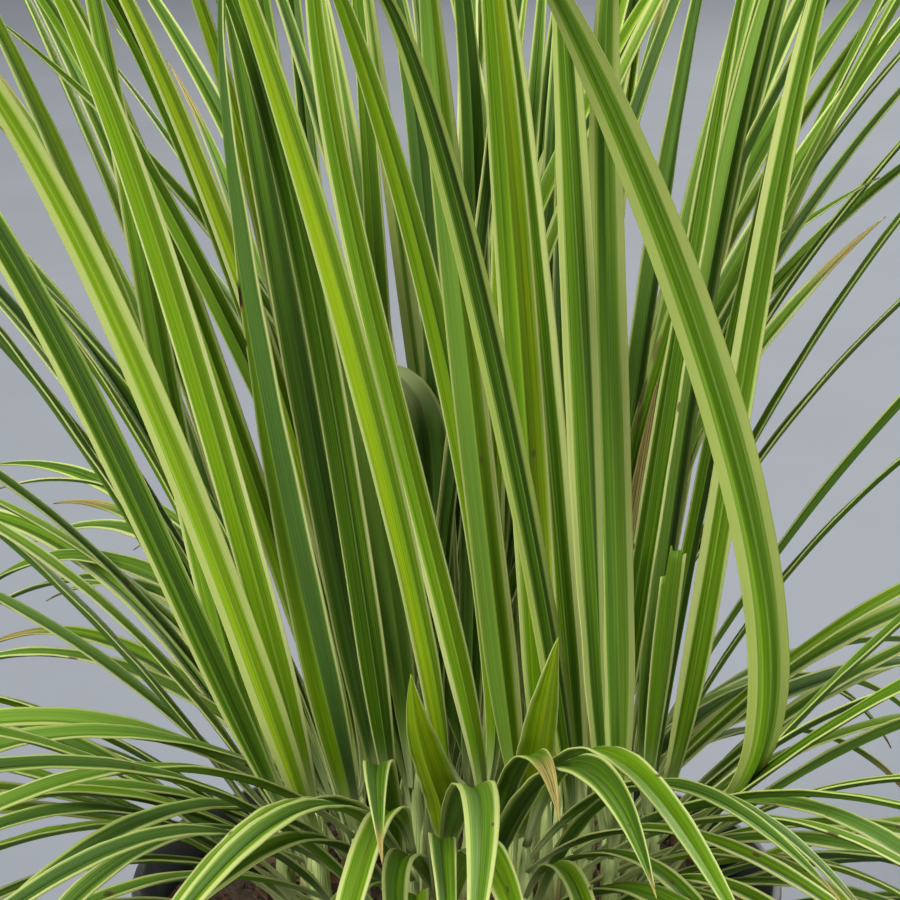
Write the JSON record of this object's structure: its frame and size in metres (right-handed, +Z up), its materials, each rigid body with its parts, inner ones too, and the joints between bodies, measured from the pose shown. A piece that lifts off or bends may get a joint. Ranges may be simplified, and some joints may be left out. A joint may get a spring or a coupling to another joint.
{
  "type": "carex sedge",
  "caption": "Tuft of variegated grassy leaves standing in leafy shoots in a plain round pot of compost; it rests on the pot's base.",
  "frame": {"origin": "centre of the pot's underside, where it stands", "axes": "+Z up along the pot's axis; the front of the tuft faces -Y, +X is to the right seen from the front"},
  "size_m": [0.5778, 0.5397, 0.5348],
  "materials": {
    "pot": "matte",
    "compost": "matte",
    "leaf": "satin"
  },
  "bodies": {
    "root": {"pot": "pot", "compost": "compost", "shoot_01": "leaf", "shoot_02": "leaf", "shoot_03": "leaf", "shoot_04": "leaf", "shoot_05": "leaf", "shoot_06": "leaf", "shoot_07": "leaf", "shoot_08": "leaf", "shoot_09": "leaf", "shoot_10": "leaf", "shoot_11": "leaf", "shoot_12": "leaf", "shoot_13": "leaf", "shoot_14": "leaf", "shoot_15": "leaf", "shoot_16": "leaf", "shoot_17": "leaf", "shoot_18": "leaf", "shoot_19": "leaf", "shoot_20": "leaf", "shoot_21": "leaf", "shoot_22": "leaf", "shoot_23": "leaf", "shoot_24": "leaf", "shoot_25": "leaf", "shoot_26": "leaf", "shoot_27": "leaf", "shoot_28": "leaf", "shoot_29": "leaf", "shoot_30": "leaf", "shoot_31": "leaf", "shoot_32": "leaf", "shoot_33": "leaf", "shoot_34": "leaf", "shoot_35": "leaf", "shoot_36": "leaf", "shoot_37": "leaf", "shoot_38": "leaf", "shoot_39": "leaf", "shoot_40": "leaf", "shoot_41": "leaf", "shoot_42": "leaf", "shoot_43": "leaf", "shoot_44": "leaf", "shoot_45": "leaf", "shoot_46": "leaf", "shoot_47": "leaf", "shoot_48": "leaf"}
  },
  "joints": []
}
